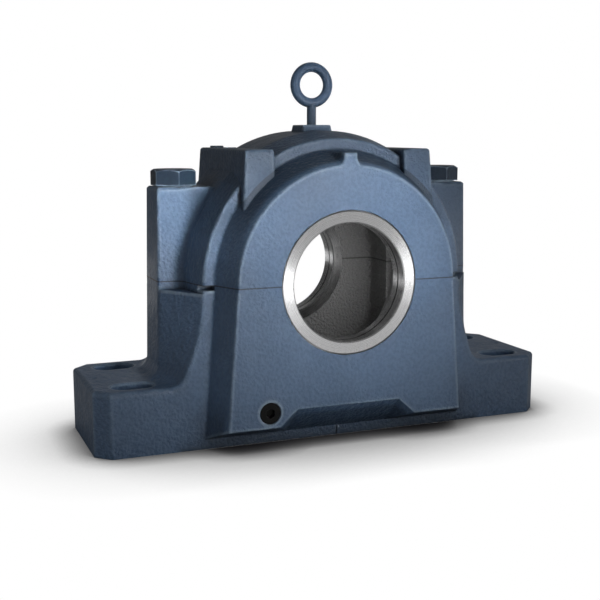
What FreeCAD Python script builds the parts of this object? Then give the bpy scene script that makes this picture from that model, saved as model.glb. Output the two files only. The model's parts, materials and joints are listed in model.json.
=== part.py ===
import FreeCAD, Part
import math
import os

from FreeCAD import Vector

# Split plummer block housing with two labyrinth seal rings and no bearing.
# Frame: millimetres, +Z up, +X along the base, +Y from the front seal to the rear seal.
# The origin is the centre of the base face, and the shaft axis runs along Y at z = axis_z.

# Base casting: foot
foot_length = 670.0
foot_depth = 188.0
foot_height = 88.0
foot_corner_chamfer = 20.0
foot_edge_round = 6.0
slot_inset = 55.0
slot_y = 61.0
slot_length = 57.0
slot_width = 36.0
slot_edge_chamfer = 1.5
dimple_inset = 17.0
dimple_radius = 4.0
dimple_depth = 2.5

# Shaft axis and split plane
axis_z = 220.0

# Base casting: column under the split
lip_height = 10.5
column_margin = 3.0
column_mid_spread = 11.0
column_foot_spread = 26.0
column_flare_start = 50.0
column_flare_mid = 89.0
column_foot_fillet = 20.0
column_edge_round = 12.0
column_draft = 0.018

# Body of the cap, a parallel crown with drafted ends
body_mid_radius = 200.0
body_end_drop = 10.0
body_edge_round = 3.5
crown_half_width = 51.5

# Seal bosses, front and rear
boss_face_y = 137.5
boss_root_step = 15.0
boss_face_drop = 19.0
boss_side_taper = 0.078
boss_bottom_z = 32.0
boss_root_bottom_z = 14.0
boss_edge_round = 3.0
boss_root_fillet = 4.0

# Scoop under each seal boss
scoop_top_half = 75.0
scoop_top_z = 54.5
scoop_flank_slope = 1.116

# Neck rib on each seal boss
neck_half_width = 9.5
neck_rise = 15.5
neck_root_fillet = 9.0
neck_reach = 6.0

# Ears of the cap
ear_inner_x = 94.0
ear_outer_x = 134.5
ear_half_depth = 104.0
ear_rise = 11.8
ear_root_z = 300.0
ear_draft = 0.06
ear_corner_round = 3.5
ear_rim_round = 4.5

# Cap bolt pillars
pillar_reach = 35.5
pillar_half_width = 33.5
pillar_drop = 74.5
pillar_draft = 0.018
pillar_corner_round = 4.0
pillar_rim_chamfer = 3.5
pillar_root_fillet = 16.0

# Pad for the eyebolt
pad_half = 21.0
pad_rise = 8.0
pad_flare = 3.0
pad_depth = 16.0
pad_corner_round = 3.0
pad_rim_round = 1.5

# Machined bearing seat and cast end chambers
seat_radius = 160.0
seat_half_width = 53.0
chamber_inset = 8.0
chamber_wall_y = 112.0
sump_floor_z = 42.0
chamber_round = 8.0
sump_corner_round = 24.0
channel_half_width = 20.0

# Labyrinth seal rings
ring_bore_radius = 80.0
ring_outer_radius = 95.8
ring_length = 34.5
ring_gap = 1.2
ring_chamfer = 1.5
fin_offsets = (8.0, 17.5)
fin_width = 4.0
fin_height = 9.7
fin_side_clearance = 0.5
fin_tip_clearance = 0.5
cord_offset = 18.5
cord_diameter = 3.0
cord_clearance = 0.2

# Cap bolts
bolt_inset = 32.5
bolt_diameter = 36.0
bolt_across_flats = 55.0
bolt_head_height = 22.0
bolt_length = 170.0
bolt_face_thickness = 1.5
bolt_face_share = 0.475
bolt_crown_angle = 30.0
bolt_tip_chamfer = 2.5
bolt_hole_clearance = 1.5
thread_clearance = 0.1
tapping_depth = 60.0

# Dowel pins across the split
dowel_inset = 26.0
dowel_y = 63.0
dowel_diameter = 16.0
dowel_length = 40.0
dowel_clearance = 0.05
dowel_chamfer = 1.0

# Eyebolt
eye_ring_diameter = 63.0
eye_wire_diameter = 13.5
eye_shank_diameter = 13.0
eye_shank_length = 24.0
eye_thread_diameter = 12.0
eye_thread_length = 26.0

# Drain plug in the front seal boss
plug_x = -113.6
plug_collar_diameter = 28.6
plug_collar_thickness = 7.0
plug_recess = 0.4
plug_thread_diameter = 21.0
plug_thread_length = 16.0
plug_socket = 12.0
plug_socket_depth = 8.0
plug_pocket_clearance = 0.6
plug_chamfer = 1.0

# Grease plugs on the left ear
middle_grease_y = 25.0
middle_grease_rise = 1.0
rear_grease_y = 85.0
rear_grease_rise = 2.6
grease_head_diameter = 19.5
grease_head_chamfer = 0.6
grease_thread_diameter = 10.0
grease_thread_length = 12.0
grease_way_diameter = 4.0

# Pry notches at the split and the centre mark on the base
notch_length = 15.0
notch_height = 6.5
notch_depth = 16.0
mark_width = 2.0
mark_depth = 1.5
mark_height = 13.0

# Derived places
body_y = foot_depth / 2
slot_x = foot_length / 2 - slot_inset
dimple_x = foot_length / 2 - dimple_inset
body_end_radius = body_mid_radius - body_end_drop
boss_root_radius = body_end_radius - boss_root_step
boss_face_radius = boss_root_radius - boss_face_drop
chamber_half_width = boss_face_radius - chamber_inset
column_half_width = body_end_radius + column_margin
column_mid_half_width = column_half_width + column_mid_spread
column_foot_half_width = column_half_width + column_foot_spread
pillar_outer_x = body_mid_radius + pillar_reach
pillar_top_z = axis_z + body_mid_radius - pillar_drop
bolt_x = pillar_outer_x - bolt_inset
dowel_x = body_mid_radius - dowel_inset
notch_inner_x = body_end_radius - notch_length
neck_top_z = axis_z + boss_face_radius + neck_rise
pad_top_z = axis_z + body_mid_radius + pad_rise
ear_mid_x = (ear_inner_x + ear_outer_x) / 2
ear_top_z = axis_z + math.sqrt(body_mid_radius ** 2 - ear_mid_x ** 2) + ear_rise
plug_z = sump_floor_z + plug_thread_diameter / 2
ring_housing_radius = ring_outer_radius + ring_gap
groove_radius = ring_outer_radius + fin_height + fin_tip_clearance
lip_z = axis_z - lip_height
past = 2.0
rim_fade_x = bolt_x - bolt_across_flats / 2
root_fillet = min(pillar_root_fillet, crown_half_width - pillar_half_width - past)

ACROSS_X = Vector(1, 0, 0)
ACROSS_Y = Vector(0, 1, 0)
ORIGIN = Vector(0, 0, 0)


def box(x0, x1, y0, y1, z0, z1):
    return Part.makeBox(x1 - x0, y1 - y0, z1 - z0, Vector(x0, y0, z0))


def cylinder_y(radius, y0, y1, x=0.0, z=axis_z):
    return Part.makeCylinder(radius, y1 - y0, Vector(x, y0, z), Vector(0, 1, 0))


def cylinder_z(radius, x, y, z0, z1):
    return Part.makeCylinder(radius, z1 - z0, Vector(x, y, z0), Vector(0, 0, 1))


def cone_y(radius0, radius1, y0, y1):
    return Part.makeCone(radius0, radius1, y1 - y0, Vector(0, y0, axis_z), Vector(0, 1, 0))


def with_mirror(shape, normal):
    return shape.fuse(shape.mirror(ORIGIN, normal))


def wire_of(points):
    return Part.makePolygon(points + points[:1])


def prism(points, direction):
    return Part.Face(wire_of(points)).extrude(direction)


def plan_rectangle(x0, x1, half_y, z):
    return [Vector(x0, -half_y, z), Vector(x1, -half_y, z), Vector(x1, half_y, z), Vector(x0, half_y, z)]


def frustum(lower, upper):
    """Flat-sided solid between two outlines, each anticlockwise seen from the upper one."""
    faces = [Part.Face(wire_of(lower[::-1])), Part.Face(wire_of(upper))]
    for i in range(len(lower)):
        j = (i + 1) % len(lower)
        faces.append(Part.Face(wire_of([lower[i], lower[j], upper[j], upper[i]])))
    return Part.makeSolid(Part.makeShell(faces))


def middle(edge):
    return edge.valueAt((edge.FirstParameter + edge.LastParameter) / 2)


def edges_where(shape, test):
    """The edges whose middle point and bounding box pass the test."""
    return [edge for edge in shape.Edges if test(middle(edge), edge.BoundBox)]


def rounded(shape, radius, test):
    return shape.makeFillet(radius, edges_where(shape, test))


def near(value, target, tolerance=0.5):
    return abs(abs(value) - target) < tolerance


def joined(shapes):
    return shapes[0].fuse(shapes[1:]).removeSplitter()


def one_solid(shape):
    return max(shape.Solids, key=lambda solid: solid.Volume)


def boss_radius_at(y):
    share = (boss_face_y - y) / (boss_face_y - body_y)
    return boss_face_radius + share * (boss_root_radius - boss_face_radius)


def boss_bottom_at(y):
    share = (boss_face_y - y) / (boss_face_y - body_y)
    return boss_bottom_z + share * (boss_root_bottom_z - boss_bottom_z)


def boss_section(y):
    """Half section of a seal boss below the split, at y in front of the mid-plane."""
    top = boss_radius_at(y)
    bottom_z = boss_bottom_at(y)
    bottom = top + (axis_z - bottom_z) * boss_side_taper
    corners = [(-top, axis_z), (-bottom, bottom_z), (bottom, bottom_z), (top, axis_z)]
    return [Vector(x, -y, z) for x, z in corners]


def foot():
    half_x = foot_length / 2
    cut = foot_corner_chamfer
    outline = []
    for sx, sy in ((1, -1), (1, 1), (-1, 1), (-1, -1)):
        on_face = Vector(sx * (half_x - cut), sy * body_y, 0)
        on_end = Vector(sx * half_x, sy * (body_y - cut), 0)
        outline += [on_face, on_end] if sx * sy < 0 else [on_end, on_face]
    return prism(outline, Vector(0, 0, foot_height))


def column_section(half_width, z):
    """Plan of the column at height z, run past the body planes and trimmed later."""
    outer = pillar_outer_x + (lip_z - z) * column_draft
    slope = (outer - half_width) / (body_y - pillar_half_width)
    run = body_y + past
    edge = half_width - past * slope
    quarter = [(edge, -run), (outer, -pillar_half_width)]
    right = quarter + [(x, -y) for x, y in quarter[::-1]]
    left = [(-x, -y) for x, y in right]
    return wire_of([Vector(x, y, z) for x, y in right + left])


def column():
    sections = [
        column_section(column_foot_half_width, foot_height),
        column_section(column_mid_half_width, axis_z - column_flare_mid),
        column_section(column_half_width, axis_z - column_flare_start),
        column_section(column_half_width, lip_z),
    ]
    loft = Part.makeLoft(sections, True, False)
    reach = foot_length / 2
    return loft.common(box(-reach, reach, -body_y, body_y, foot_height, lip_z))


def split_outline():
    """Plan of both castings at the split, without the seal bosses."""
    quarter = [
        (body_end_radius, -body_y),
        (body_mid_radius, -crown_half_width),
        (body_mid_radius, -pillar_half_width),
        (pillar_outer_x, -pillar_half_width),
    ]
    right = quarter + [(x, -y) for x, y in quarter[::-1]]
    left = [(-x, -y) for x, y in right]
    return [Vector(x, y, lip_z) for x, y in right + left]


def lip():
    plate = prism(split_outline(), Vector(0, 0, lip_height))
    plate = rounded(plate, pillar_corner_round, lambda m, b: b.ZLength > 1 and near(m.x, pillar_outer_x))
    plate = rounded(plate, body_edge_round, lambda m, b: b.ZLength > 1 and near(m.y, body_y))
    return rounded(plate, root_fillet, lambda m, b: b.ZLength > 1 and near(m.y, pillar_half_width)
                   and near(m.x, body_mid_radius))


def lower_boss():
    half = frustum(boss_section(body_y - past), boss_section(boss_face_y))
    return with_mirror(half, ACROSS_Y)


def scoop():
    """Oblique trapezoid pocket under a seal boss, from its face down to the body plane."""
    drop = scoop_top_z - boss_root_bottom_z
    low = scoop_top_half + scoop_flank_slope * scoop_top_z
    corners = [(-scoop_top_half, scoop_top_z), (scoop_top_half, scoop_top_z), (low, 0), (-low, 0)]
    along = Vector(0, boss_face_y - body_y, -drop)
    pocket = prism([Vector(x, -boss_face_y, z) for x, z in corners], along)
    return with_mirror(pocket, ACROSS_Y)


def slot_cutter(x, y):
    straight = (slot_length - slot_width) / 2
    radius = slot_width / 2

    def stadium(r, z0, z1):
        ends = [cylinder_z(r, x + side * straight, y, z0, z1) for side in (-1, 1)]
        return joined([box(x - straight, x + straight, y - r, y + r, z0, z1)] + ends)

    def stadium_wire(r, z):
        a = Vector(x - straight, y - r, z)
        b = Vector(x + straight, y - r, z)
        c = Vector(x + straight, y + r, z)
        d = Vector(x - straight, y + r, z)
        right = Part.Arc(b, Vector(x + straight + r, y, z), c).toShape()
        left = Part.Arc(d, Vector(x - straight - r, y, z), a).toShape()
        return Part.Wire([Part.makeLine(a, b), right, Part.makeLine(c, d), left])

    rim = slot_edge_chamfer
    rim_wires = [stadium_wire(radius, foot_height - rim), stadium_wire(radius + rim, foot_height)]
    return stadium(radius, -past, foot_height + past).fuse(Part.makeLoft(rim_wires, True, True))


def chamber(side):
    """Cast end chamber: an arch above the split and straight walls down to the sump floor."""
    half = chamber_half_width
    y = side * seat_half_width
    left = Vector(-half, y, axis_z)
    right = Vector(half, y, axis_z)
    crown = Part.Arc(left, Vector(0, y, axis_z + half), right).toShape()
    corners = [right, Vector(half, y, sump_floor_z), Vector(-half, y, sump_floor_z), left]
    walls = [Part.makeLine(start, end) for start, end in zip(corners, corners[1:])]
    run = Vector(0, side * (chamber_wall_y - seat_half_width), 0)
    hollow = Part.Face(Part.Wire([crown] + walls)).extrude(run)
    hollow = rounded(hollow, sump_corner_round, lambda m, b: b.YLength > past and near(m.z, sump_floor_z))
    return rounded(hollow, chamber_round, lambda m, b: b.YLength < past and near(m.y, chamber_wall_y))


def ring_seat(side):
    """Bore and labyrinth grooves for one seal ring, through the boss wall."""
    def along(inner, outer):
        return sorted((side * inner, side * outer))

    cutters = [cylinder_y(ring_housing_radius, *along(chamber_wall_y - past, boss_face_y + past))]
    half = fin_width / 2 + fin_side_clearance
    for offset in fin_offsets:
        centre = boss_face_y - offset
        cutters.append(cylinder_y(groove_radius, *along(centre - half, centre + half)))
    return joined(cutters)


def interior():
    seat = cylinder_y(seat_radius, -seat_half_width, seat_half_width)
    reach = seat_half_width + past
    half = channel_half_width
    channel_top_z = axis_z - math.sqrt(seat_radius ** 2 - half ** 2) + past
    channel = box(-half, half, -reach, reach, sump_floor_z, channel_top_z)
    hollows = [seat, channel]
    for side in (-1, 1):
        hollows += [chamber(side), ring_seat(side)]
    return hollows


def drain_hole():
    thread_radius = plug_thread_diameter / 2 + thread_clearance
    thread = cylinder_y(thread_radius, -boss_face_y, -chamber_wall_y + past, plug_x, plug_z)
    pocket_radius = plug_collar_diameter / 2 + plug_pocket_clearance
    pocket_end = -boss_face_y + plug_recess + plug_collar_thickness
    return thread.fuse(cylinder_y(pocket_radius, -boss_face_y - past, pocket_end, plug_x, plug_z))


def dowel_holes():
    reach = dowel_length / 2 + past
    radius = dowel_diameter / 2 + dowel_clearance
    return [cylinder_z(radius, s * dowel_x, s * dowel_y, axis_z - reach, axis_z + reach) for s in (-1, 1)]


def base_body():
    """Foot and column as cast, with the column's flare run into the foot."""
    body = joined([foot(), column()])
    spread = (lip_z - foot_height) * column_draft + past
    body = rounded(body, column_edge_round, lambda m, b: b.ZLength > lip_height
                   and near(m.x, pillar_outer_x, spread) and near(m.y, pillar_half_width))
    body = rounded(body, column_foot_fillet, lambda m, b: near(m.z, foot_height) and b.ZLength < 0.1
                   and abs(m.x) < pillar_outer_x + spread and abs(m.y) < body_y - 1)
    body = rounded(body, foot_edge_round, lambda m, b: near(m.y, body_y) and b.YLength < 0.1
                   and m.z > foot_height - 1 and abs(m.x) > column_half_width - 1)
    return rounded(body, foot_edge_round, lambda m, b: near(m.z, foot_height, 0.1) and b.ZLength < 0.1
                   and abs(m.x) > foot_length / 2 - foot_corner_chamfer)


def base_casting():
    body = joined([base_body(), lip(), lower_boss()])
    body = rounded(body, boss_edge_round, lambda m, b: near(m.y, boss_face_y) and b.ZLength > scoop_top_z)
    body = rounded(body, boss_root_fillet, lambda m, b: near(m.y, body_y) and b.YLength < 0.1
                   and b.ZLength > foot_height and abs(m.x) < body_end_radius)
    cutters = interior() + [scoop(), drain_hole()] + dowel_holes()
    for side in (-1, 1):
        x = side * bolt_x
        radius = bolt_diameter / 2 + thread_clearance
        cutters.append(cylinder_z(radius, x, 0, axis_z - tapping_depth, axis_z + past))
        spot = Vector(side * dimple_x, 0, foot_height - dimple_depth)
        cutters.append(Part.makeCone(0, dimple_radius, dimple_depth, spot, Vector(0, 0, 1)))
        for end in (-1, 1):
            cutters.append(slot_cutter(side * slot_x, end * slot_y))
            notch_x = sorted((side * notch_inner_x, side * (body_mid_radius + past)))
            notch_y = sorted((end * (body_y - notch_depth), end * (body_y + past)))
            cutters.append(box(*notch_x, *notch_y, axis_z - notch_height, axis_z + past))
    for end in (-1, 1):
        mark_y = sorted((end * (body_y - mark_depth), end * (body_y + past)))
        cutters.append(box(-mark_width / 2, mark_width / 2, *mark_y, -past, mark_height))
    return body.cut(cutters)


def half_body():
    front = cone_y(body_end_radius, body_mid_radius, -body_y, -crown_half_width)
    crown = cylinder_y(body_mid_radius, -crown_half_width, 0)
    boss = cone_y(boss_face_radius, boss_radius_at(body_y - past), -boss_face_y, -body_y + past)
    neck_root_z = axis_z + boss_radius_at(body_y) / 2
    half = neck_half_width
    neck = box(-half, half, -boss_face_y, neck_reach - body_y, neck_root_z, neck_top_z)
    return front.fuse([crown, boss, neck])


def pillar():
    draft = (pillar_top_z - axis_z) * pillar_draft
    lower = plan_rectangle(ear_outer_x, pillar_outer_x, pillar_half_width, axis_z)
    upper = plan_rectangle(ear_outer_x, pillar_outer_x - draft, pillar_half_width - draft, pillar_top_z)
    return rounded(frustum(lower, upper), pillar_corner_round, lambda m, b: b.ZLength > draft
                   and m.x > pillar_outer_x - draft)


def rim_cutters():
    """Sloped rims of the pillars, full at the outer end and faded out before the root fillet."""
    draft = (pillar_top_z - axis_z) * pillar_draft
    half = pillar_half_width - draft + past
    outer = pillar_outer_x - draft + past
    top = pillar_top_z + past

    def flank(x, rim):
        cut = rim + 2 * past
        return [Vector(x, -half, top), Vector(x, -half, top - cut), Vector(x, cut - half, top)]

    def end(y):
        cut = pillar_rim_chamfer + 2 * past
        return [Vector(outer, y, top), Vector(outer - cut, y, top), Vector(outer, y, top - cut)]

    full = flank(bolt_x, pillar_rim_chamfer)
    fade = frustum(flank(rim_fade_x, 0), full)
    flanks = with_mirror(fade.fuse(frustum(full, flank(outer, pillar_rim_chamfer))), ACROSS_Y)
    return [with_mirror(flanks, ACROSS_X), with_mirror(frustum(end(-half), end(half)), ACROSS_X)]


def ear():
    draft = (ear_top_z - ear_root_z) * ear_draft
    lower = plan_rectangle(ear_inner_x, ear_outer_x + draft, ear_half_depth + draft, ear_root_z)
    upper = plan_rectangle(ear_inner_x, ear_outer_x, ear_half_depth, ear_top_z)
    block = rounded(frustum(lower, upper), ear_corner_round, lambda m, b: b.ZLength > 2 * draft)
    return rounded(block, ear_rim_round, lambda m, b: near(m.z, ear_top_z) and b.ZLength < 0.1)


def pad():
    low = pad_half + pad_flare
    lower = plan_rectangle(-low, low, low, pad_top_z - pad_depth)
    upper = plan_rectangle(-pad_half, pad_half, pad_half, pad_top_z)
    block = rounded(frustum(lower, upper), pad_corner_round, lambda m, b: b.ZLength > pad_depth / 2)
    return rounded(block, pad_rim_round, lambda m, b: near(m.z, pad_top_z) and b.ZLength < 0.1)


def cap_body():
    above = box(-foot_length, foot_length, -foot_length, foot_length, axis_z, 2 * foot_length)
    halves = with_mirror(half_body(), ACROSS_Y).common(above)
    sides = with_mirror(pillar().fuse(ear()), ACROSS_X)
    body = joined([halves, sides, pad()])
    body = rounded(body, root_fillet, lambda m, b: b.ZLength > pillar_half_width
                   and near(m.y, pillar_half_width, 4) and abs(m.x) < body_mid_radius)
    body = rounded(body, neck_root_fillet, lambda m, b: near(m.x, neck_half_width) and b.XLength < 1
                   and b.YLength > neck_half_width and b.ZLength > neck_half_width / 2)
    body = rounded(body, body_edge_round, lambda m, b: near(m.y, body_y)
                   and near(math.hypot(m.x, m.z - axis_z), body_end_radius))
    body = rounded(body, boss_edge_round, lambda m, b: near(m.y, boss_face_y) and b.YLength < 0.1
                   and m.z > axis_z + 1)
    return rounded(body, boss_root_fillet, lambda m, b: near(m.y, body_y) and b.ZLength > 1
                   and near(math.hypot(m.x, m.z - axis_z), boss_root_radius))


def cap_casting():
    body = cap_body()
    cutters = interior() + dowel_holes() + rim_cutters()
    for side in (-1, 1):
        x = side * bolt_x
        radius = bolt_diameter / 2 + bolt_hole_clearance
        cutters.append(cylinder_z(radius, x, 0, axis_z - past, pillar_top_z + past))
    eye_hole = eye_thread_diameter / 2 + thread_clearance
    cutters.append(cylinder_z(eye_hole, 0, 0, pad_top_z - eye_thread_length - past, pad_top_z + past))
    thread_end_z = ear_top_z - grease_thread_length - past
    for y in (middle_grease_y, rear_grease_y):
        hole = grease_thread_diameter / 2 + thread_clearance
        cutters.append(cylinder_z(hole, -ear_mid_x, y, thread_end_z, ear_top_z + past))
        cutters.append(cylinder_z(grease_way_diameter / 2, -ear_mid_x, y, axis_z, ear_top_z))
    return body.cut(cutters)


def hexagon(across_flats, x, y, z, direction):
    radius = across_flats / math.sqrt(3)
    turns = [math.radians(60 * i + 30) for i in range(6)]
    if direction.z:
        points = [Vector(x + radius * math.cos(a), y + radius * math.sin(a), z) for a in turns]
    else:
        points = [Vector(x + radius * math.cos(a), y, z + radius * math.sin(a)) for a in turns]
    return prism(points, direction)


def cap_bolt(side):
    x = side * bolt_x
    seat_z = pillar_top_z
    under = seat_z + bolt_face_thickness
    top = under + bolt_head_height
    head = hexagon(bolt_across_flats, x, 0, under, Vector(0, 0, bolt_head_height))
    corner = bolt_across_flats / math.sqrt(3)
    face_radius = bolt_across_flats * bolt_face_share
    crown_drop = (corner - face_radius) * math.tan(math.radians(bolt_crown_angle))
    crown = Part.makeCone(corner, face_radius, crown_drop, Vector(x, 0, top - crown_drop))
    envelope = cylinder_z(corner, x, 0, under, top - crown_drop).fuse(crown)
    face = cylinder_z(face_radius, x, 0, seat_z, under)
    shank = cylinder_z(bolt_diameter / 2, x, 0, seat_z - bolt_length, under)
    tip = edges_where(shank, lambda m, b: near(m.z, seat_z - bolt_length) and b.ZLength < 0.1)
    return joined([head.common(envelope), face, shank.makeChamfer(bolt_tip_chamfer, tip)])


def dowel_pin(side):
    half = dowel_length / 2
    pin = cylinder_z(dowel_diameter / 2, side * dowel_x, side * dowel_y, axis_z - half, axis_z + half)
    ends = edges_where(pin, lambda m, b: b.ZLength < 0.1)
    return pin.makeChamfer(dowel_chamfer, ends)


def eyebolt():
    ring_radius = (eye_ring_diameter - eye_wire_diameter) / 2
    centre_z = pad_top_z + eye_shank_length + eye_ring_diameter / 2
    ring = Part.makeTorus(ring_radius, eye_wire_diameter / 2, Vector(0, 0, centre_z), Vector(0, 1, 0))
    neck_top = pad_top_z + eye_shank_length + eye_wire_diameter / 2
    shank = cylinder_z(eye_shank_diameter / 2, 0, 0, pad_top_z, neck_top)
    thread = cylinder_z(eye_thread_diameter / 2, 0, 0, pad_top_z - eye_thread_length, pad_top_z)
    return joined([ring, shank, thread])


def drain_plug():
    face = -boss_face_y + plug_recess
    inner = face + plug_collar_thickness
    collar = cylinder_y(plug_collar_diameter / 2, face, inner, plug_x, plug_z)
    rim = edges_where(collar, lambda m, b: b.YLength < 0.1 and near(m.y, -face))
    collar = collar.makeChamfer(plug_chamfer, rim)
    thread = cylinder_y(plug_thread_diameter / 2, inner, inner + plug_thread_length, plug_x, plug_z)
    socket = hexagon(plug_socket, plug_x, face - past, plug_z, Vector(0, plug_socket_depth + past, 0))
    return joined([collar, thread]).cut(socket)


def grease_plug(y, rise):
    x = -ear_mid_x
    top = ear_top_z + rise
    head = cylinder_z(grease_head_diameter / 2, x, y, ear_top_z, top)
    rim = edges_where(head, lambda m, b: b.ZLength < 0.1 and near(m.z, top, 0.1))
    thread = cylinder_z(grease_thread_diameter / 2, x, y, ear_top_z - grease_thread_length, ear_top_z)
    return joined([head.makeChamfer(grease_head_chamfer, rim), thread])


def ring_profile():
    """Section of a front seal ring as (radius, y), outer face first."""
    face = -boss_face_y
    end = face + ring_length
    bore = ring_bore_radius
    outer = ring_outer_radius
    edge = ring_chamfer
    points = [(bore + edge, face), (outer - edge / 2, face), (outer, face + edge / 2)]
    for offset in fin_offsets:
        start = face + offset - fin_width / 2
        tip = outer + fin_height
        points += [(outer, start), (tip, start), (tip, start + fin_width), (outer, start + fin_width)]
    points += [(outer, end - edge / 2), (outer - edge / 2, end), (bore + edge, end), (bore, end - edge)]
    groove = cord_diameter / 2 + cord_clearance
    floor = bore + cord_diameter + 2 * cord_clearance
    near_side = face + cord_offset - groove
    far_side = face + cord_offset + groove
    points += [(bore, far_side), (floor, far_side), (floor, near_side), (bore, near_side)]
    return points + [(bore, face + edge)]


def labyrinth_ring():
    section = Part.Face(wire_of([Vector(r, y, axis_z) for r, y in ring_profile()]))
    return section.revolve(Vector(0, 0, axis_z), Vector(0, 1, 0), 360)


def ring_cord():
    """Rubber cord in the bore groove: round cord pressed to flats by the groove and the shaft."""
    radius = ring_bore_radius + cord_clearance + cord_diameter / 2
    corner = cord_diameter / 2 / math.cos(math.pi / 8)
    turns = [math.pi / 8 + i * math.pi / 4 for i in range(8)]
    y = cord_offset - boss_face_y
    section = [Vector(radius + corner * math.cos(a), y + corner * math.sin(a), axis_z) for a in turns]
    return Part.Face(wire_of(section)).revolve(Vector(0, 0, axis_z), Vector(0, 1, 0), 360)


def rear(shape):
    return shape.mirror(ORIGIN, ACROSS_Y)


parts = {
    "base_casting": base_casting(),
    "cap_casting": cap_casting(),
    "left_cap_bolt": cap_bolt(-1),
    "right_cap_bolt": cap_bolt(1),
    "front_dowel_pin": dowel_pin(-1),
    "rear_dowel_pin": dowel_pin(1),
    "eyebolt": eyebolt(),
    "drain_plug": drain_plug(),
    "middle_grease_plug": grease_plug(middle_grease_y, middle_grease_rise),
    "rear_grease_plug": grease_plug(rear_grease_y, rear_grease_rise),
    "front_labyrinth_ring": labyrinth_ring(),
    "front_ring_cord": ring_cord(),
    "rear_labyrinth_ring": rear(labyrinth_ring()),
    "rear_ring_cord": rear(ring_cord()),
}

os.makedirs("parts", exist_ok=True)
for name, shape in parts.items():
    solid = one_solid(shape)
    solid.exportStep(f"parts/{name}.step")
    print(name, "solids", len(shape.Solids), "valid", solid.isValid(), "faces", len(solid.Faces),
          "volume", round(solid.Volume / 1000, 1), "cm3")
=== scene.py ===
import json
import math
from functools import cached_property

import bpy
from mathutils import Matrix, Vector

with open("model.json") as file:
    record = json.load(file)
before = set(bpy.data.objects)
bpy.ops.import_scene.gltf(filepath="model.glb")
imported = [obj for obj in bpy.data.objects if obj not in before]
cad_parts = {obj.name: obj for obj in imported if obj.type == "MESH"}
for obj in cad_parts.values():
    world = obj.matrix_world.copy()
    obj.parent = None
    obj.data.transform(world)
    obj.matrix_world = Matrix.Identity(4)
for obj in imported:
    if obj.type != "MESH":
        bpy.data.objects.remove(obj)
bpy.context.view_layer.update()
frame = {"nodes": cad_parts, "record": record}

# Split plummer block: paint, steel and rubber for the CAD nodes, floor, light and camera.
# Metres, in the frame of the part: +X along the base, +Y along the shaft axis, +Z up.

# Places on the part
AXIS_HEIGHT = 0.220
SEAT_RADIUS = 0.160
SEAT_HALF_WIDTH = 0.053
CHAMBER_RADIUS = 0.148
CHAMBER_HALF_LENGTH = 0.112
SUMP_FLOOR = 0.042
BOSS_FACE = 0.1375
BOSS_ROOT_RADIUS = 0.175
GROOVE_RADIUS = 0.107
BORE_RIM = 0.108

# How far past its place a face still counts as that face
SKIN = 0.0012

# Noise scales, in grains a metre
PATCHES = 9.0
SWELL = 80.0
WEAR_BREAKS = 120.0
PAINT_GRAIN = 210.0
CAST_GRAIN = 240.0
GRIT = 420.0
BORING_MARKS = 2600.0

# Depths of bumps and radii of softened edges
CASTING_PEEL = 0.0034
FASTENER_PEEL = 0.0006
CAST_DEPTH = 0.0068
BORING_DEPTH = 0.00005
TURNING_DEPTH = 0.00003
FINE_DEPTH = 0.0001
CASTING_EDGE = 0.0025
FASTENER_EDGE = 0.0016
PLUG_EDGE = 0.0008

# Linear colours
PAINT = (0.065, 0.111, 0.189)
PAINT_LIGHT = (0.089, 0.145, 0.239)
# Painted highlight on rounded edges, partly a thin worn coat
PAINT_EDGE_HIGHLIGHT_AND_WEAR = (0.30, 0.39, 0.49)
# Painted shade in corners, recesses and behind the bosses, and the dark split line
PAINT_SHADE_AND_SPLIT = (0.022, 0.034, 0.052)
FASTENER = (0.034, 0.055, 0.088)
FASTENER_LIGHT = (0.046, 0.071, 0.110)
BOLT = (0.016, 0.028, 0.047)
BOLT_LIGHT = (0.022, 0.037, 0.061)
CAST_IRON = (0.22, 0.22, 0.222)
CAST_IRON_LIGHT = (0.30, 0.30, 0.298)
IRON_CREASE = (0.11, 0.11, 0.11)
MACHINED_IRON = (0.30, 0.30, 0.30)
STEEL = (0.80, 0.80, 0.805)
STEEL_DARK = (0.70, 0.70, 0.71)
BLACK_STEEL = (0.003, 0.003, 0.003)
RUBBED_STEEL = (0.10, 0.10, 0.10)
RUBBER = (0.010, 0.010, 0.010)
RUBBER_LIGHT = (0.018, 0.018, 0.018)
WHITE = (1.0, 1.0, 1.0)
FLOOR_SHADOW = (0.004, 0.004, 0.005)
FLOOR_GREY = (0.30, 0.30, 0.30)

FLOOR_SIZE = 12.0


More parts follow.
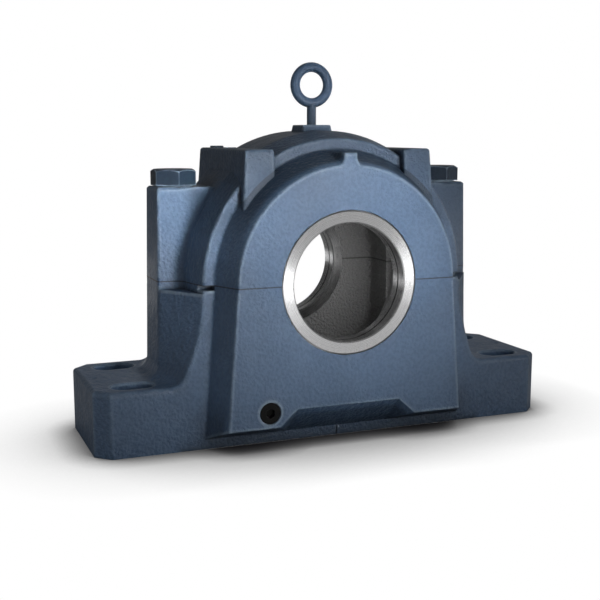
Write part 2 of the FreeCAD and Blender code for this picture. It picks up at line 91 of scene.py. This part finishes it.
class Nodes:
    """Builds one material's node tree with short calls."""

    def __init__(self, tree):
        self.tree = tree

    def add(self, kind, settings=None, **inputs):
        """New node. An underscore in an input's name stands for a space."""
        node = self.tree.nodes.new(kind)
        for key, value in (settings or {}).items():
            setattr(node, key, value)
        for key, value in inputs.items():
            self.put(node, key.replace("_", " "), value)
        return node

    def put(self, node, key, value):
        """Links or sets one input, named by its label or its number."""
        socket = node.inputs[int(key)] if key.isdigit() else node.inputs[key]
        if isinstance(value, bpy.types.NodeSocket):
            self.tree.links.new(value, socket)
        elif socket.type == "RGBA":
            socket.default_value = (*value[:3], 1.0)
        else:
            socket.default_value = value

    def math(self, operation, a, b=0.0):
        node = self.add("ShaderNodeMath", {"operation": operation})
        self.put(node, "0", a)
        self.put(node, "1", b)
        return node.outputs[0]

    def product(self, first, *others):
        for other in others:
            first = self.math("MULTIPLY", first, other)
        return first

    def largest(self, first, *others):
        for other in others:
            first = self.math("MAXIMUM", first, other)
        return first

    def below(self, value, limit):
        return self.math("LESS_THAN", value, limit)

    def above(self, value, limit):
        return self.math("GREATER_THAN", value, limit)

    def ramp(self, value, low, high, out_low=0.0, out_high=1.0):
        """Smooth step of value from low to high."""
        node = self.add("ShaderNodeMapRange", {"interpolation_type": "SMOOTHSTEP"})
        for key, number in (("Value", value), ("From Min", low), ("From Max", high),
                            ("To Min", out_low), ("To Max", out_high)):
            self.put(node, key, number)
        return node.outputs["Result"]

    def mix(self, share, a, b):
        """Colour a where the share is zero and b where it is one."""
        node = self.add("ShaderNodeMix", {"data_type": "RGBA"})
        for index, value in ((0, share), (6, a), (7, b)):
            self.put(node, str(index), value)
        return node.outputs[2]

    def mix_shader(self, share, a, b):
        node = self.add("ShaderNodeMixShader", Fac=share)
        self.put(node, "1", a)
        self.put(node, "2", b)
        return node.outputs[0]

    def principled(self, **inputs):
        return self.add("ShaderNodeBsdfPrincipled", **inputs).outputs[0]

    def noise(self, scale, detail=2.0, roughness=0.5):
        node = self.add("ShaderNodeTexNoise", Vector=self.place, Scale=scale, Detail=detail,
                        Roughness=roughness)
        return node.outputs["Fac"]

    def stripes(self, run, scale, detail):
        """Noise that changes along one run only, as turning marks do."""
        node = self.add("ShaderNodeTexNoise", {"noise_dimensions": "1D"}, W=run, Scale=scale, Detail=detail)
        return node.outputs["Fac"]

    def bump(self, height, distance, **normal):
        return self.add("ShaderNodeBump", Height=height, Distance=distance, **normal).outputs["Normal"]

    def read_place(self):
        """Object coordinates, which on a CAD node are the part's own frame."""
        self.place = self.add("ShaderNodeTexCoord").outputs["Object"]
        self.x, self.y, self.z = self.add("ShaderNodeSeparateXYZ", Vector=self.place).outputs

    @cached_property
    def across(self):
        """Distance from the middle of the base, along it."""
        return self.math("ABSOLUTE", self.x)

    @cached_property
    def depth(self):
        """Distance from the middle of the base, along the shaft."""
        return self.math("ABSOLUTE", self.y)

    @cached_property
    def height(self):
        """Height over the shaft axis, which lies in the split plane."""
        return self.math("SUBTRACT", self.z, AXIS_HEIGHT)

    @cached_property
    def from_split(self):
        return self.math("ABSOLUTE", self.height)

    @cached_property
    def radius(self):
        """Distance from the shaft axis."""
        square = self.math("ADD", self.product(self.x, self.x), self.product(self.height, self.height))
        return self.math("SQRT", square)


def new_material(name):
    material = bpy.data.materials.new(name)
    material.use_nodes = True
    material.node_tree.nodes.clear()
    nodes = Nodes(material.node_tree)
    nodes.read_place()
    return material, nodes


def finish_material(nodes, shader):
    nodes.add("ShaderNodeOutputMaterial", Surface=shader)


def edge_share(nodes, reach, low, high):
    """One on an outer edge, zero on a flat further than the reach from any edge."""
    inside = nodes.add("ShaderNodeAmbientOcclusion", {"samples": 8, "inside": True, "only_local": True},
                       Distance=reach)
    return nodes.ramp(inside.outputs["AO"], 1.0 - low, 1.0 - high)


def soft_normal(nodes, radius):
    """Normal that rolls over an edge, as thick paint does."""
    return nodes.add("ShaderNodeBevel", {"samples": 6}, Radius=radius).outputs["Normal"]


def open_share(nodes, reach, low, high, darkest):
    """One on an open face, down to darkest in a recess whose walls stand within the reach."""
    cover = nodes.add("ShaderNodeAmbientOcclusion", {"samples": 8}, Distance=reach)
    return nodes.ramp(cover.outputs["AO"], low, high, darkest, 1.0)


def clean_share(nodes):
    """Painted shade: one on open paint, less in corners and recesses, and one again on the ends of the foot.
    """
    corners = open_share(nodes, 0.007, 0.30, 0.95, 0.10)
    recesses = open_share(nodes, 0.035, 0.32, 0.80, 0.25)
    foot_ends = nodes.ramp(nodes.across, 0.215, 0.235)
    return nodes.largest(nodes.product(corners, recesses), foot_ends)


def worn_share(nodes, edge):
    """Painted highlight on edges, partly a thin worn coat, broken up along their length, but not on what
    faces down.
    """
    broken = nodes.ramp(nodes.noise(WEAR_BREAKS), 0.30, 0.60, 0.55, 1.0)
    normal = nodes.add("ShaderNodeSeparateXYZ", Vector=nodes.add("ShaderNodeNewGeometry").outputs["Normal"])
    not_down = nodes.ramp(normal.outputs["Z"], -0.5, -0.1)
    off_floor = nodes.ramp(nodes.z, 0.004, 0.010)
    return nodes.product(edge, broken, nodes.product(not_down, off_floor))


def paint_colour(nodes, edge, dark, light):
    """Blue-grey paint with slow patches, fine mottling, painted shade in recesses and thin painted highlights
    on edges.
    """
    patches = nodes.ramp(nodes.noise(PATCHES, 3.0), 0.35, 0.68)
    mottle = nodes.ramp(nodes.noise(PAINT_GRAIN), 0.36, 0.62)
    lightness = nodes.math("ADD", nodes.product(patches, 0.45), nodes.product(mottle, 0.55))
    # Painted shade in corners and recesses
    base = nodes.mix(clean_share(nodes), PAINT_SHADE_AND_SPLIT, nodes.mix(lightness, dark, light))
    # Painted highlight on edges, partly worn coat, over the base colour
    return nodes.mix(nodes.product(worn_share(nodes, edge), 0.60), base, PAINT_EDGE_HIGHLIGHT_AND_WEAR)


def orange_peel(nodes, depth, edge_radius):
    """Bump of the sprayed coat over the sand-cast skin, rolling over the edges."""
    grain = nodes.product(nodes.noise(PAINT_GRAIN), 0.6)
    swell = nodes.product(nodes.noise(SWELL), 0.4)
    return nodes.bump(nodes.math("ADD", grain, swell), depth, Normal=soft_normal(nodes, edge_radius))


def dull_share(nodes):
    """Painted shade behind the boss faces: on the cap, the right column and the foot near the bosses."""
    set_back = nodes.ramp(nodes.depth, BOSS_FACE - 0.0045, BOSS_FACE - 0.0155)
    on_cap = nodes.product(nodes.ramp(nodes.z, 0.265, 0.310), nodes.ramp(nodes.across, 0.200, 0.180))
    on_right = nodes.product(nodes.ramp(nodes.x, 0.165, 0.190), nodes.ramp(nodes.z, 0.10, 0.22))
    wide = nodes.product(nodes.largest(on_cap, on_right), 0.50)
    on_cone = nodes.product(nodes.ramp(nodes.radius, BOSS_ROOT_RADIUS + 0.0025, BOSS_ROOT_RADIUS + 0.0010),
                            nodes.ramp(nodes.z, 0.25, 0.34, 0.0, 0.90))
    near_boss = nodes.product(nodes.ramp(nodes.across, 0.235, 0.165),
                              nodes.ramp(nodes.z, 0.080, 0.030, 0.0, 0.60))
    return nodes.product(set_back, nodes.largest(wide, near_boss, on_cone))


def painted_iron(nodes):
    """Paint of the castings, with painted highlights on edges apart from the split and the bore, painted
    shade behind the bosses and a dark split line.
    """
    # Painted edge highlight, kept off the split and the bore rim
    edge = nodes.product(edge_share(nodes, 0.0050, 0.07, 0.17),
                         nodes.ramp(nodes.from_split, 0.0045, 0.0055),
                         nodes.ramp(nodes.radius, BORE_RIM, BORE_RIM + 0.004))
    # Painted shade behind the boss faces
    colour = nodes.mix(dull_share(nodes), paint_colour(nodes, edge, PAINT, PAINT_LIGHT), PAINT_SHADE_AND_SPLIT)
    off_split = nodes.ramp(nodes.from_split, 0.0005, 0.0011)
    return nodes.principled(
        Base_Color=nodes.mix(off_split, PAINT_SHADE_AND_SPLIT, colour),
        Roughness=nodes.ramp(nodes.noise(60.0, 3.0), 0.3, 0.7, 0.40, 0.52),
        Specular_IOR_Level=0.30,
        Coat_Weight=0.30,
        Coat_Roughness=0.24,
        Normal=orange_peel(nodes, CASTING_PEEL, CASTING_EDGE))


def bare_iron(nodes):
    """Sand-cast iron of the chamber, with the split as a darker line."""
    grit = nodes.ramp(nodes.noise(GRIT, 3.0, 0.6), 0.35, 0.7)
    off_split = nodes.ramp(nodes.from_split, 0.0006, 0.0016)
    return nodes.principled(
        Base_Color=nodes.mix(off_split, IRON_CREASE, nodes.mix(grit, CAST_IRON, CAST_IRON_LIGHT)),
        Roughness=nodes.ramp(grit, 0.0, 1.0, 0.62, 0.8),
        Normal=nodes.bump(nodes.noise(CAST_GRAIN, 3.0, 0.55), CAST_DEPTH))


def machined_iron(nodes):
    """Bored iron with turning marks along the shaft axis."""
    turned = nodes.stripes(nodes.y, BORING_MARKS, 2.0)
    return nodes.principled(
        Base_Color=nodes.mix(turned, MACHINED_IRON, STEEL_DARK),
        Metallic=0.9,
        Roughness=nodes.ramp(turned, 0.2, 0.8, 0.32, 0.48),
        Normal=nodes.bump(turned, BORING_DEPTH))


def hollow_share(nodes):
    """One on the walls of the chamber: the arch round the seat and the sumps under the axis."""
    within_ends = nodes.below(nodes.depth, CHAMBER_HALF_LENGTH + SKIN)
    arch = nodes.below(nodes.radius, SEAT_RADIUS + SKIN)
    sump = nodes.product(nodes.below(nodes.across, CHAMBER_RADIUS + SKIN), nodes.below(nodes.height, 0.0),
                         nodes.above(nodes.z, SUMP_FLOOR - SKIN))
    return nodes.product(within_ends, nodes.largest(arch, sump))


def machined_share(nodes, hollow):
    """One on the bearing seat, the bores through the boss walls and the underside of the foot."""
    on_seat = nodes.product(nodes.below(nodes.depth, SEAT_HALF_WIDTH - SKIN / 4),
                            nodes.above(nodes.radius, SEAT_RADIUS - SKIN), hollow)
    in_bore = nodes.product(nodes.above(nodes.depth, CHAMBER_HALF_LENGTH + SKIN / 4),
                            nodes.below(nodes.depth, BOSS_FACE - SKIN / 4),
                            nodes.below(nodes.radius, GROOVE_RADIUS))
    underside = nodes.below(nodes.z, SKIN / 6)
    return nodes.largest(on_seat, underside, in_bore)


def housing_material():
    """Painted outside, bare cast iron in the chamber, machined where another piece or the ground fits."""
    material, nodes = new_material("housing_paint")
    hollow = hollow_share(nodes)
    cast = nodes.mix_shader(hollow, painted_iron(nodes), bare_iron(nodes))
    finish_material(nodes, nodes.mix_shader(machined_share(nodes, hollow), cast, machined_iron(nodes)))
    return material


def fastener_material():
    """The same paint on forged steel, smoother than on the castings, darker on the bolts than on the eye."""
    material, nodes = new_material("painted_fastener")
    on_bolt = nodes.ramp(nodes.across, 0.12, 0.16)
    on_eye = nodes.ramp(nodes.z, 0.445, 0.470)
    dark = nodes.mix(on_bolt, nodes.mix(on_eye, FASTENER, PAINT), BOLT)
    light = nodes.mix(on_bolt, nodes.mix(on_eye, FASTENER_LIGHT, PAINT_LIGHT), BOLT_LIGHT)
    finish_material(nodes, nodes.principled(
        # Painted edge highlights and painted shade in recesses, as on the castings
        Base_Color=paint_colour(nodes, edge_share(nodes, 0.003, 0.12, 0.28), dark, light),
        Roughness=nodes.ramp(nodes.noise(90.0, 3.0), 0.3, 0.7, 0.36, 0.48),
        Specular_IOR_Level=0.30,
        Coat_Weight=0.25,
        Coat_Roughness=0.22,
        Normal=orange_peel(nodes, FASTENER_PEEL, FASTENER_EDGE)))
    return material


def turned_steel_material(name, rough, pitch):
    """Lathe-turned steel: fine circles about the shaft axis, with a stretched highlight."""
    material, nodes = new_material(name)
    turned = nodes.stripes(nodes.math("ADD", nodes.radius, nodes.y), 1.0 / pitch, 3.0)
    smear = nodes.product(nodes.ramp(nodes.noise(40.0, 3.0), 0.35, 0.7), 0.05)
    marks = nodes.ramp(turned, 0.25, 0.75, rough, rough + 0.10)
    finish_material(nodes, nodes.principled(
        Base_Color=nodes.mix(nodes.ramp(turned, 0.2, 0.8), STEEL_DARK, STEEL),
        Metallic=1.0,
        Roughness=nodes.math("ADD", marks, smear),
        Anisotropic=0.85,
        Anisotropic_Rotation=0.25,
        Tangent=nodes.add("ShaderNodeTangent", {"direction_type": "RADIAL", "axis": "Y"}).outputs[0],
        Normal=nodes.bump(turned, TURNING_DEPTH)))
    return material


def black_plug_material():
    """Blackened steel with a grey rub on its edges."""
    material, nodes = new_material("black_plug")
    rubbed = nodes.product(edge_share(nodes, 0.0012, 0.12, 0.35),
                           nodes.ramp(nodes.noise(300.0, 3.0), 0.35, 0.6))
    finish_material(nodes, nodes.principled(
        Base_Color=nodes.mix(nodes.product(rubbed, 0.25), BLACK_STEEL, RUBBED_STEEL),
        Specular_IOR_Level=0.12,
        Roughness=nodes.ramp(nodes.noise(500.0), 0.3, 0.7, 0.36, 0.5),
        Normal=nodes.bump(nodes.noise(700.0), FINE_DEPTH, Normal=soft_normal(nodes, PLUG_EDGE))))
    return material


def rubber_material():
    material, nodes = new_material("cord_rubber")
    finish_material(nodes, nodes.principled(
        Base_Color=nodes.mix(nodes.noise(400.0), RUBBER, RUBBER_LIGHT),
        Roughness=nodes.ramp(nodes.noise(300.0), 0.3, 0.7, 0.6, 0.75),
        Normal=nodes.bump(nodes.noise(900.0), FINE_DEPTH)))
    return material


def dress(materials):
    """Puts each slot's material on the CAD nodes that use it."""
    for part in frame["record"]["subparts"]:
        piece = frame["nodes"][part["node"]]
        piece.data.materials.clear()
        piece.data.materials.append(materials[part["material_slot"]])
        for slot in piece.material_slots:
            slot.link = "OBJECT"
            slot.material = materials[part["material_slot"]]


def seen_directly(nodes):
    """One for camera, mirror and glass rays and zero for scattered light, and one for camera rays alone."""
    path = nodes.add("ShaderNodeLightPath")
    camera = path.outputs["Is Camera Ray"]
    sharp = nodes.largest(path.outputs["Is Glossy Ray"], path.outputs["Is Transmission Ray"])
    return nodes.largest(camera, sharp), camera


def make_floor():
    """White floor with the object's soft shadow, dimmer in mirrors and plain grey to scattered light."""
    material, nodes = new_material("floor_white")
    near = nodes.add("ShaderNodeAmbientOcclusion", {"samples": 16}, Distance=0.045)
    wide = nodes.add("ShaderNodeAmbientOcclusion", {"samples": 16}, Distance=0.16)
    shade = nodes.product(nodes.math("POWER", near.outputs["AO"], 1.4),
                          nodes.math("POWER", wide.outputs["AO"], 1.6))
    plain = nodes.add("ShaderNodeBsdfDiffuse", Color=FLOOR_GREY)
    direct, camera = seen_directly(nodes)
    level = nodes.largest(nodes.ramp(nodes.y, 0.1, -0.4, 0.14, 0.58), camera)
    seen = nodes.add("ShaderNodeEmission", Color=nodes.mix(shade, FLOOR_SHADOW, WHITE), Strength=level)
    finish_material(nodes, nodes.mix_shader(direct, plain.outputs[0], seen.outputs[0]))
    bpy.ops.mesh.primitive_plane_add(size=FLOOR_SIZE, location=(0.0, 0.0, 0.0))
    floor = bpy.context.object
    floor.name = "floor"
    floor.data.materials.append(material)


def make_world():
    """White background, dimmer in mirrors, and a dim room that gives more light from the front and left."""
    world = bpy.data.worlds.new("studio")
    world.use_nodes = True
    world.node_tree.nodes.clear()
    nodes = Nodes(world.node_tree)
    direction = nodes.add("ShaderNodeTexCoord").outputs["Generated"]
    x, y, z = nodes.add("ShaderNodeSeparateXYZ", Vector=direction).outputs
    level = nodes.math("ADD", nodes.ramp(y, 0.2, -0.9, 0.15, 0.22), nodes.ramp(x, -0.3, -0.9, 0.0, 0.42))
    level = nodes.product(level, nodes.ramp(z, 0.1, 0.8, 1.0, 0.40))
    direct, camera = seen_directly(nodes)
    mirrored = nodes.largest(nodes.ramp(x, -0.2, 0.3, 0.06, 0.20), nodes.ramp(y, 0.2, -0.5, 0.0, 0.20),
                             camera)
    room = nodes.add("ShaderNodeBackground", Color=WHITE, Strength=level)
    white = nodes.add("ShaderNodeBackground", Color=WHITE, Strength=mirrored)
    nodes.add("ShaderNodeOutputWorld", Surface=nodes.mix_shader(direct, room.outputs[0], white.outputs[0]))
    bpy.context.scene.world = world


def aim(thing, target):
    towards = target - thing.location
    thing.rotation_euler = towards.to_track_quat("-Z", "Y").to_euler()


def soft_box(name, place, target, size, watts, spread=180.0):
    """Area lamp of the given width and height that faces the target, with its spread in degrees."""
    lamp = bpy.data.lights.new(name, "AREA")
    lamp.shape = "RECTANGLE"
    lamp.size, lamp.size_y = size
    lamp.energy = watts
    lamp.spread = math.radians(spread)
    holder = bpy.data.objects.new(name, lamp)
    bpy.context.scene.collection.objects.link(holder)
    holder.location = place
    aim(holder, Vector(target))
    return holder


def make_lights():
    """Lamps in front, behind and in the chamber that no mirror shows, and strips that only mirrors show."""
    middle = (0.0, 0.0, AXIS_HEIGHT)
    in_chamber = ((0.135, -0.05, 0.22), (-0.05, 0.112, 0.20), (0.02, 0.12))
    key_light = soft_box("key_light", (0.34, -1.42, 0.42), (-0.24, 0.0, 0.30), (0.35, 0.35), 0.25, 32.0)
    pillar_light = soft_box("pillar_light", (0.20, -1.45, 0.42), (-0.25, 0.0, 0.34), (0.12, 0.12), 0.080, 8.0)
    right_light = soft_box("right_light", (0.40, -1.38, 0.38), (0.02, -BOSS_FACE, 0.295), (0.26, 0.26),
                           0.40, 22.0)
    fill_light = soft_box("fill_light", (0.55, -1.45, 0.60), (0.06, 0.0, 0.20), (0.7, 0.5), 0.54, 70.0)
    back_light = soft_box("back_light", (0.40, 1.50, 0.40), middle, (0.6, 0.5), 2.0, 60.0)
    chamber_light = soft_box("chamber_light", *in_chamber, 0.13, 130.0)
    rear_light = soft_box("rear_light", (-0.29, 0.90, 0.09), (0.08, 0.0, 0.22), (0.20, 0.12), 0.11)
    left_strip = soft_box("left_strip", (0.0, -1.30, 0.06), middle, (0.35, 0.12), 1.5)
    top_strip = soft_box("top_strip", (0.45, -1.05, 1.05), (0.0, 0.0, 0.25), (0.5, 0.15), 0.25)
    right_strip = soft_box("right_strip", (0.95, -1.10, 0.13), middle, (0.35, 0.22), 1.0)
    chamber_glint = soft_box("chamber_glint", *in_chamber, 0.020, 130.0)
    for lamp in (key_light, pillar_light, right_light, fill_light, back_light, chamber_light):
        lamp.visible_glossy = False
    for lamp in (left_strip, right_strip, top_strip, chamber_glint, rear_light):
        lamp.visible_diffuse = False
    for lamp in (chamber_light, chamber_glint, rear_light):
        lamp.visible_camera = False


def make_camera():
    """Camera at the photograph's viewing angle, worked out from its straight edges and circles."""
    lens = bpy.data.cameras.new("photo_camera")
    lens.lens = 61.29
    lens.sensor_width = 36.0
    camera = bpy.data.objects.new("photo_camera", lens)
    bpy.context.scene.collection.objects.link(camera)
    camera.location = (-0.55918, -1.36073, 0.41799)
    camera.rotation_euler = (math.radians(80.668), 0.0, math.radians(-21.711))
    bpy.context.scene.camera = camera


dress({
    "housing_paint": housing_material(),
    "painted_fastener": fastener_material(),
    "ring_steel": turned_steel_material("ring_steel", rough=0.20, pitch=0.0006),
    "plain_steel": turned_steel_material("plain_steel", rough=0.30, pitch=0.0004),
    "black_plug": black_plug_material(),
    "cord_rubber": rubber_material(),
})
make_floor()
make_world()
make_lights()
make_camera()
bpy.context.scene.view_settings.view_transform = "Standard"
